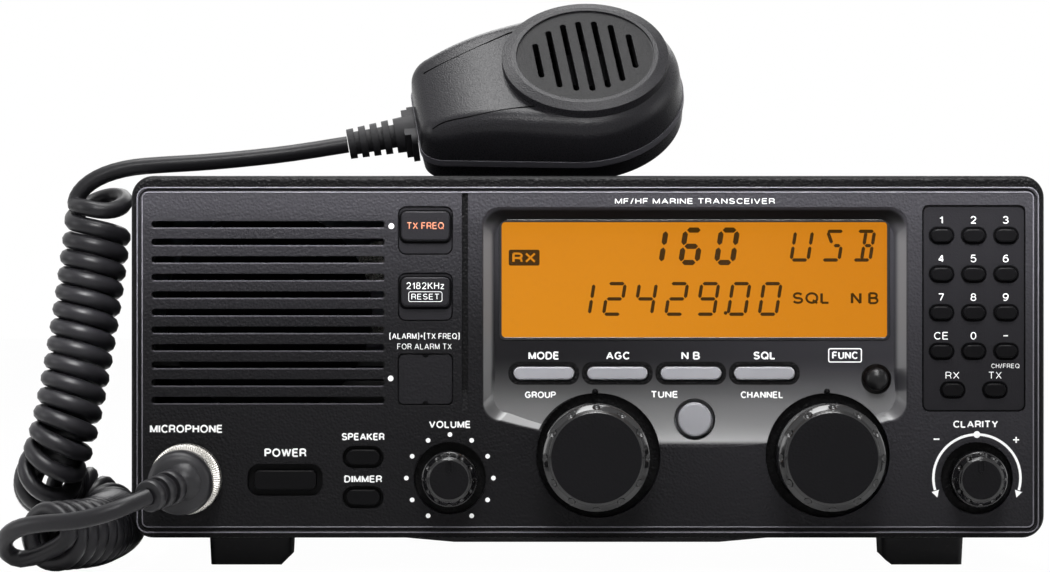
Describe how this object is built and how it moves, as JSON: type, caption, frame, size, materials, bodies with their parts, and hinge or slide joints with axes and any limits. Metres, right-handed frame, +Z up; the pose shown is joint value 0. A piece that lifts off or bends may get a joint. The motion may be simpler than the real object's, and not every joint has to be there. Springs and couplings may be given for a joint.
{
  "type": "marine ssb radio",
  "caption": "Marine single sideband transceiver with a large display, tuning knobs, keypad, rear heat sink and a hand microphone on a curly cord.",
  "frame": {"origin": "on the surface that the feet stand on, in the middle of the case and of the depth from the knobs to the heat sink", "axes": "+X to the right of someone who faces the panel, +Y from the panel to the back, +Z up"},
  "size_m": [0.3359, 0.3576, 0.1843],
  "materials": {
    "panel_plastic": "grained",
    "black_key": "satin",
    "silver_key": "satin silver paint",
    "knob_plastic": "satin",
    "window_glass": "clear",
    "display": "lit amber",
    "board": "solder mask",
    "control_metal": "bare",
    "speaker_metal": "satin",
    "cast_alloy": "as cast",
    "black_alloy": "black anodised",
    "black_paint": "textured",
    "black_rubber": "matte",
    "black_screw": "black oxide",
    "plated_metal": "nickel plated",
    "socket_plastic": "satin",
    "mic_plastic": "fine grained",
    "mic_steel": "plated",
    "capsule": "matte",
    "cord_rubber": "matte",
    "plug_metal": "nickel ring and black body"
  },
  "bodies": {
    "radio": {"antenna_socket": "plated_metal", "blank_cover": "panel_plastic", "bottom_cover": "black_paint", "chassis": "cast_alloy", "cover_screws": "black_screw", "display_board": "board", "display_module": "display", "display_window": "window_glass", "feet": "black_rubber", "front_panel": "panel_plastic", "ground_terminal": "plated_metal", "heat_sink": "black_alloy", "keypad_panel": "panel_plastic", "main_board": "board", "mic_coil": "cord_rubber", "mic_lead": "cord_rubber", "mic_plug": "plug_metal", "mic_socket": "plated_metal", "mic_tail": "cord_rubber", "power_board": "board", "rear_sockets": "socket_plastic", "rotary_controls": "control_metal", "speaker": "speaker_metal", "top_cover": "black_paint"},
    "microphone": {"mic_front_shell": "mic_plastic", "mic_back_shell": "mic_plastic", "mic_gasket": "black_rubber", "mic_gland": "black_rubber", "mic_element": "capsule", "mic_fixings": "mic_steel"},
    "talk_switch": {"talk_key": "mic_plastic"},
    "agc_button": {"agc_key": "silver_key"},
    "dimmer_button": {"dimmer_key": "black_key"},
    "distress_frequency_button": {"distress_frequency_key": "black_key"},
    "function_button": {"function_key": "silver_key"},
    "mode_button": {"mode_key": "silver_key"},
    "noise_blanker_button": {"noise_blanker_key": "silver_key"},
    "pad_0_button": {"pad_0_key": "black_key"},
    "pad_1_button": {"pad_1_key": "black_key"},
    "pad_2_button": {"pad_2_key": "black_key"},
    "pad_3_button": {"pad_3_key": "black_key"},
    "pad_4_button": {"pad_4_key": "black_key"},
    "pad_5_button": {"pad_5_key": "black_key"},
    "pad_6_button": {"pad_6_key": "black_key"},
    "pad_7_button": {"pad_7_key": "black_key"},
    "pad_8_button": {"pad_8_key": "black_key"},
    "pad_9_button": {"pad_9_key": "black_key"},
    "pad_clear_button": {"pad_clear_key": "black_key"},
    "pad_minus_button": {"pad_minus_key": "black_key"},
    "pad_receive_button": {"pad_receive_key": "black_key"},
    "pad_transmit_button": {"pad_transmit_key": "black_key"},
    "power_button": {"power_key": "black_key"},
    "send_frequency_button": {"send_frequency_key": "black_key"},
    "speaker_button": {"speaker_key": "black_key"},
    "squelch_button": {"squelch_key": "silver_key"},
    "tune_button": {"tune_key": "silver_key"},
    "group_knob_body": {"group_knob": "knob_plastic"},
    "channel_knob_body": {"channel_knob": "knob_plastic"},
    "volume_knob_body": {"volume_knob": "knob_plastic"},
    "clarity_knob_body": {"clarity_knob": "knob_plastic"}
  },
  "joints": [
    {"name": "agc_key_press", "type": "slide", "parent": "radio", "child": "agc_button", "axis": [0, 1, 0], "range_m": [0, 0.001], "stiffness_N_per_m": 400},
    {"name": "dimmer_key_press", "type": "slide", "parent": "radio", "child": "dimmer_button", "axis": [0, 1, 0], "range_m": [0, 0.001], "stiffness_N_per_m": 400},
    {"name": "distress_frequency_key_press", "type": "slide", "parent": "radio", "child": "distress_frequency_button", "axis": [0, 1, 0], "range_m": [0, 0.001], "stiffness_N_per_m": 400},
    {"name": "function_key_press", "type": "slide", "parent": "radio", "child": "function_button", "axis": [0, 1, 0], "range_m": [0, 0.001], "stiffness_N_per_m": 400},
    {"name": "mode_key_press", "type": "slide", "parent": "radio", "child": "mode_button", "axis": [0, 1, 0], "range_m": [0, 0.001], "stiffness_N_per_m": 400},
    {"name": "noise_blanker_key_press", "type": "slide", "parent": "radio", "child": "noise_blanker_button", "axis": [0, 1, 0], "range_m": [0, 0.001], "stiffness_N_per_m": 400},
    {"name": "pad_0_key_press", "type": "slide", "parent": "radio", "child": "pad_0_button", "axis": [0, 1, 0], "range_m": [0, 0.001], "stiffness_N_per_m": 400},
    {"name": "pad_1_key_press", "type": "slide", "parent": "radio", "child": "pad_1_button", "axis": [0, 1, 0], "range_m": [0, 0.001], "stiffness_N_per_m": 400},
    {"name": "pad_2_key_press", "type": "slide", "parent": "radio", "child": "pad_2_button", "axis": [0, 1, 0], "range_m": [0, 0.001], "stiffness_N_per_m": 400},
    {"name": "pad_3_key_press", "type": "slide", "parent": "radio", "child": "pad_3_button", "axis": [0, 1, 0], "range_m": [0, 0.001], "stiffness_N_per_m": 400},
    {"name": "pad_4_key_press", "type": "slide", "parent": "radio", "child": "pad_4_button", "axis": [0, 1, 0], "range_m": [0, 0.001], "stiffness_N_per_m": 400},
    {"name": "pad_5_key_press", "type": "slide", "parent": "radio", "child": "pad_5_button", "axis": [0, 1, 0], "range_m": [0, 0.001], "stiffness_N_per_m": 400},
    {"name": "pad_6_key_press", "type": "slide", "parent": "radio", "child": "pad_6_button", "axis": [0, 1, 0], "range_m": [0, 0.001], "stiffness_N_per_m": 400},
    {"name": "pad_7_key_press", "type": "slide", "parent": "radio", "child": "pad_7_button", "axis": [0, 1, 0], "range_m": [0, 0.001], "stiffness_N_per_m": 400},
    {"name": "pad_8_key_press", "type": "slide", "parent": "radio", "child": "pad_8_button", "axis": [0, 1, 0], "range_m": [0, 0.001], "stiffness_N_per_m": 400},
    {"name": "pad_9_key_press", "type": "slide", "parent": "radio", "child": "pad_9_button", "axis": [0, 1, 0], "range_m": [0, 0.001], "stiffness_N_per_m": 400},
    {"name": "pad_clear_key_press", "type": "slide", "parent": "radio", "child": "pad_clear_button", "axis": [0, 1, 0], "range_m": [0, 0.001], "stiffness_N_per_m": 400},
    {"name": "pad_minus_key_press", "type": "slide", "parent": "radio", "child": "pad_minus_button", "axis": [0, 1, 0], "range_m": [0, 0.001], "stiffness_N_per_m": 400},
    {"name": "pad_receive_key_press", "type": "slide", "parent": "radio", "child": "pad_receive_button", "axis": [0, 1, 0], "range_m": [0, 0.001], "stiffness_N_per_m": 400},
    {"name": "pad_transmit_key_press", "type": "slide", "parent": "radio", "child": "pad_transmit_button", "axis": [0, 1, 0], "range_m": [0, 0.001], "stiffness_N_per_m": 400},
    {"name": "power_key_press", "type": "slide", "parent": "radio", "child": "power_button", "axis": [0, 1, 0], "range_m": [0, 0.001], "stiffness_N_per_m": 400},
    {"name": "send_frequency_key_press", "type": "slide", "parent": "radio", "child": "send_frequency_button", "axis": [0, 1, 0], "range_m": [0, 0.001], "stiffness_N_per_m": 400},
    {"name": "speaker_key_press", "type": "slide", "parent": "radio", "child": "speaker_button", "axis": [0, 1, 0], "range_m": [0, 0.001], "stiffness_N_per_m": 400},
    {"name": "squelch_key_press", "type": "slide", "parent": "radio", "child": "squelch_button", "axis": [0, 1, 0], "range_m": [0, 0.001], "stiffness_N_per_m": 400},
    {"name": "tune_key_press", "type": "slide", "parent": "radio", "child": "tune_button", "axis": [0, 1, 0], "range_m": [0, 0.001], "stiffness_N_per_m": 400},
    {"name": "group_knob_turn", "type": "hinge", "parent": "radio", "child": "group_knob_body", "pos_m": [0.0034, -0.1455, 0.0367], "axis": [0, 1, 0], "continuous": true},
    {"name": "channel_knob_turn", "type": "hinge", "parent": "radio", "child": "channel_knob_body", "pos_m": [0.0766, -0.1455, 0.0367], "axis": [0, 1, 0], "continuous": true},
    {"name": "volume_knob_turn", "type": "hinge", "parent": "radio", "child": "volume_knob_body", "pos_m": [-0.044, -0.1455, 0.0295], "axis": [0, 1, 0], "range_deg": [-150, 150]},
    {"name": "clarity_knob_turn", "type": "hinge", "parent": "radio", "child": "clarity_knob_body", "pos_m": [0.1242, -0.1455, 0.0295], "axis": [0, 1, 0], "range_deg": [-110, 110]},
    {"name": "microphone_lift", "type": "slide", "parent": "radio", "child": "microphone", "axis": [0, 0, 1], "range_m": [0, 0.06]},
    {"name": "talk_switch_press", "type": "slide", "parent": "microphone", "child": "talk_switch", "axis": [0.1336, -0.7269, -0.6736], "range_m": [0, 0.0016], "stiffness_N_per_m": 500}
  ]
}
